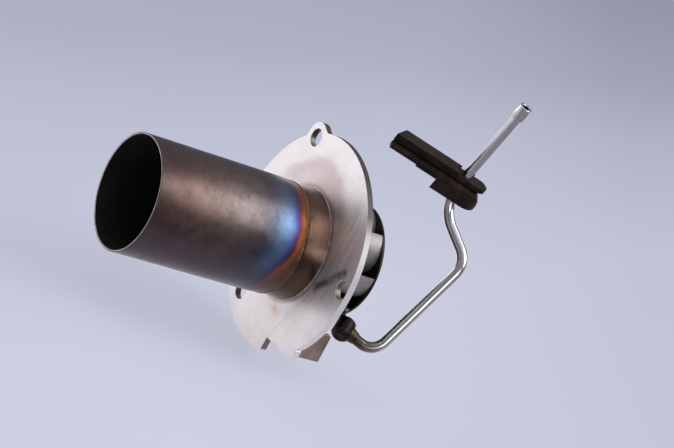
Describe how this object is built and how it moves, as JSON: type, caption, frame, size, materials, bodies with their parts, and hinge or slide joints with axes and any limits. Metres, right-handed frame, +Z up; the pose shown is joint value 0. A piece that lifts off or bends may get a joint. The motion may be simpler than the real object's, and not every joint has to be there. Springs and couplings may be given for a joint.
{
  "type": "oil burner nozzle",
  "caption": "Small oil burner: combustion tube on a flange, air swirl cage behind it, bent steel fuel pipe with a rubber grommet.",
  "frame": {"origin": "centre of the flange's front face, on the combustion tube's axis", "axes": "-Y along the tube towards its open mouth, +Y towards the swirl cage, +Z up, with the fuel pipe's end pointing up and slightly to +X"},
  "size_m": [0.0972, 0.146, 0.1465],
  "materials": {
    "heated_steel": "heat-tinted sheet steel, satin",
    "weld_steel": "brown heat-tinted weld",
    "neck_steel": "tan heat-tinted steel",
    "flange_steel": "bright satin steel, lightly tinted near the neck",
    "lug_steel": "tan heat-tinted steel",
    "vane_steel": "warm grey sheet steel",
    "dark_steel": "dark oxidised steel",
    "inlet_steel": "dark brown oxidised steel",
    "pipe_steel": "polished steel tube",
    "fleece": "sintered metal felt",
    "rubber": "matt black-brown rubber"
  },
  "bodies": {
    "burner": {"combustion_tube": "heated_steel", "seam_weld": "weld_steel", "neck_sleeve": "neck_steel", "flange_plate": "flange_steel", "locating_lug": "lug_steel", "vane_ring": "vane_steel", "swirl_vane_1": "vane_steel", "swirl_vane_2": "vane_steel", "swirl_vane_3": "vane_steel", "swirl_vane_4": "vane_steel", "swirl_vane_5": "vane_steel", "swirl_vane_6": "vane_steel", "swirl_vane_7": "vane_steel", "swirl_vane_8": "vane_steel", "back_disc": "dark_steel", "air_nozzle": "vane_steel", "flame_baffle": "dark_steel", "evaporator_cup": "dark_steel", "fuel_fleece": "fleece", "fleece_retainer": "vane_steel", "igniter_sleeve": "dark_steel", "feed_tube": "pipe_steel", "inlet_body": "inlet_steel", "inlet_plug": "inlet_steel", "pipe_weld_collar": "weld_steel", "fuel_pipe": "pipe_steel", "hose_olive": "pipe_steel"},
    "grommet": {"pipe_grommet": "rubber"}
  },
  "joints": [
    {"name": "grommet_slide", "type": "slide", "parent": "burner", "child": "grommet", "axis": [0.3057, 0, 0.9521], "range_m": [0, 0.034]}
  ]
}
